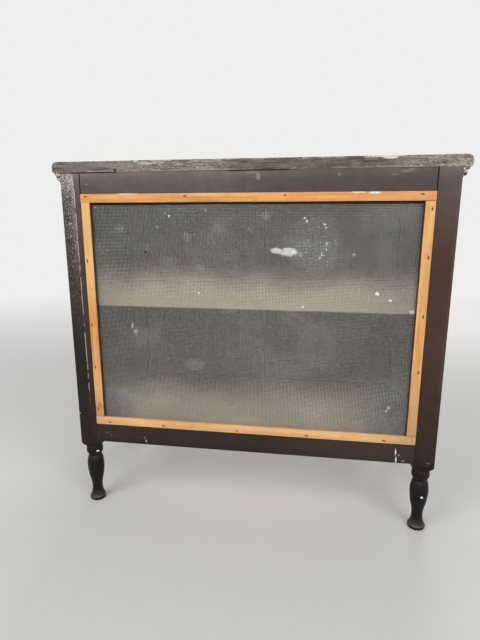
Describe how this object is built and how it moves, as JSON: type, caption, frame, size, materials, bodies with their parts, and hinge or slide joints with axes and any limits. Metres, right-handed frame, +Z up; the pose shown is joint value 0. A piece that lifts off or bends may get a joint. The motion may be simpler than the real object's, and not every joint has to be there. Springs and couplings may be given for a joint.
{
  "type": "pie safe",
  "caption": "Low painted cupboard on turned feet with a perforated metal screen held by nailed battens on one long side, two panelled doors on the other, and one shelf.",
  "frame": {"origin": "on the floor, under the middle of the cupboard's bounding box", "axes": "+X along the cupboard, to the right as seen from the screened side; +Y from the screened side towards the doors; +Z up"},
  "size_m": [0.94, 0.4564, 0.895],
  "materials": {
    "dark_paint": "dark purplish brown oil paint on softwood, satin, worn pale at the edges",
    "pine": "bare sawn pine, matt",
    "inside_wood": "bare softwood, aged and dusty, matt",
    "zinc": "dull grey perforated zinc",
    "nail_iron": "rusted brown wire nails",
    "hinge_iron": "dull dark steel"
  },
  "bodies": {
    "case": {"post_rear_left": "dark_paint", "post_rear_right": "dark_paint", "post_front_left": "dark_paint", "post_front_right": "dark_paint", "rail_rear_top": "dark_paint", "rail_rear_bottom": "dark_paint", "rail_front_top": "dark_paint", "rail_front_bottom": "dark_paint", "rail_left_top": "dark_paint", "rail_left_bottom": "dark_paint", "rail_right_top": "dark_paint", "rail_right_bottom": "dark_paint", "top_board": "dark_paint", "moulding_left": "dark_paint", "moulding_right": "dark_paint", "moulding_front": "dark_paint", "side_panel_left": "dark_paint", "side_panel_right": "dark_paint", "bottom_board": "inside_wood", "shelf": "inside_wood", "shelf_ledge": "inside_wood", "shelf_bearer_left": "inside_wood", "shelf_bearer_right": "inside_wood", "door_stop": "inside_wood", "cleat_top": "inside_wood", "cleat_bottom": "inside_wood", "cleat_left": "inside_wood", "cleat_right": "inside_wood", "zinc_sheet": "zinc", "batten_top": "pine", "batten_bottom": "pine", "batten_left": "pine", "batten_right": "pine", "batten_nails": "nail_iron", "hinge_left_top_case_leaf": "hinge_iron", "hinge_left_bottom_case_leaf": "hinge_iron", "hinge_right_top_case_leaf": "hinge_iron", "hinge_right_bottom_case_leaf": "hinge_iron", "hinge_pins": "hinge_iron", "case_hinge_screws": "hinge_iron", "turn_button_screw": "hinge_iron"},
    "door_left": {"door_left_hinge_stile": "dark_paint", "door_left_meeting_stile": "dark_paint", "door_left_top_rail": "dark_paint", "door_left_bottom_rail": "dark_paint", "door_left_panel": "dark_paint", "hinge_left_top_door_leaf": "hinge_iron", "hinge_left_bottom_door_leaf": "hinge_iron", "door_left_hinge_screws": "hinge_iron", "knob_left": "dark_paint"},
    "door_right": {"door_right_hinge_stile": "dark_paint", "door_right_meeting_stile": "dark_paint", "door_right_top_rail": "dark_paint", "door_right_bottom_rail": "dark_paint", "door_right_panel": "dark_paint", "hinge_right_top_door_leaf": "hinge_iron", "hinge_right_bottom_door_leaf": "hinge_iron", "door_right_hinge_screws": "hinge_iron", "knob_right": "dark_paint"},
    "turn_button": {"turn_button": "dark_paint"}
  },
  "joints": [
    {"name": "door_left_hinge", "type": "hinge", "parent": "case", "child": "door_left", "pos_m": [-0.40175, 0.21325, 0.52825], "axis": [0, 0, 1], "range_deg": [0, 180]},
    {"name": "door_right_hinge", "type": "hinge", "parent": "case", "child": "door_right", "pos_m": [0.40175, 0.21325, 0.52825], "axis": [0, 0, -1], "range_deg": [0, 180]},
    {"name": "turn_button_spin", "type": "hinge", "parent": "case", "child": "turn_button", "pos_m": [0, 0.21425, 0.8345], "axis": [0, 1, 0], "range_deg": [-10, 190]}
  ]
}
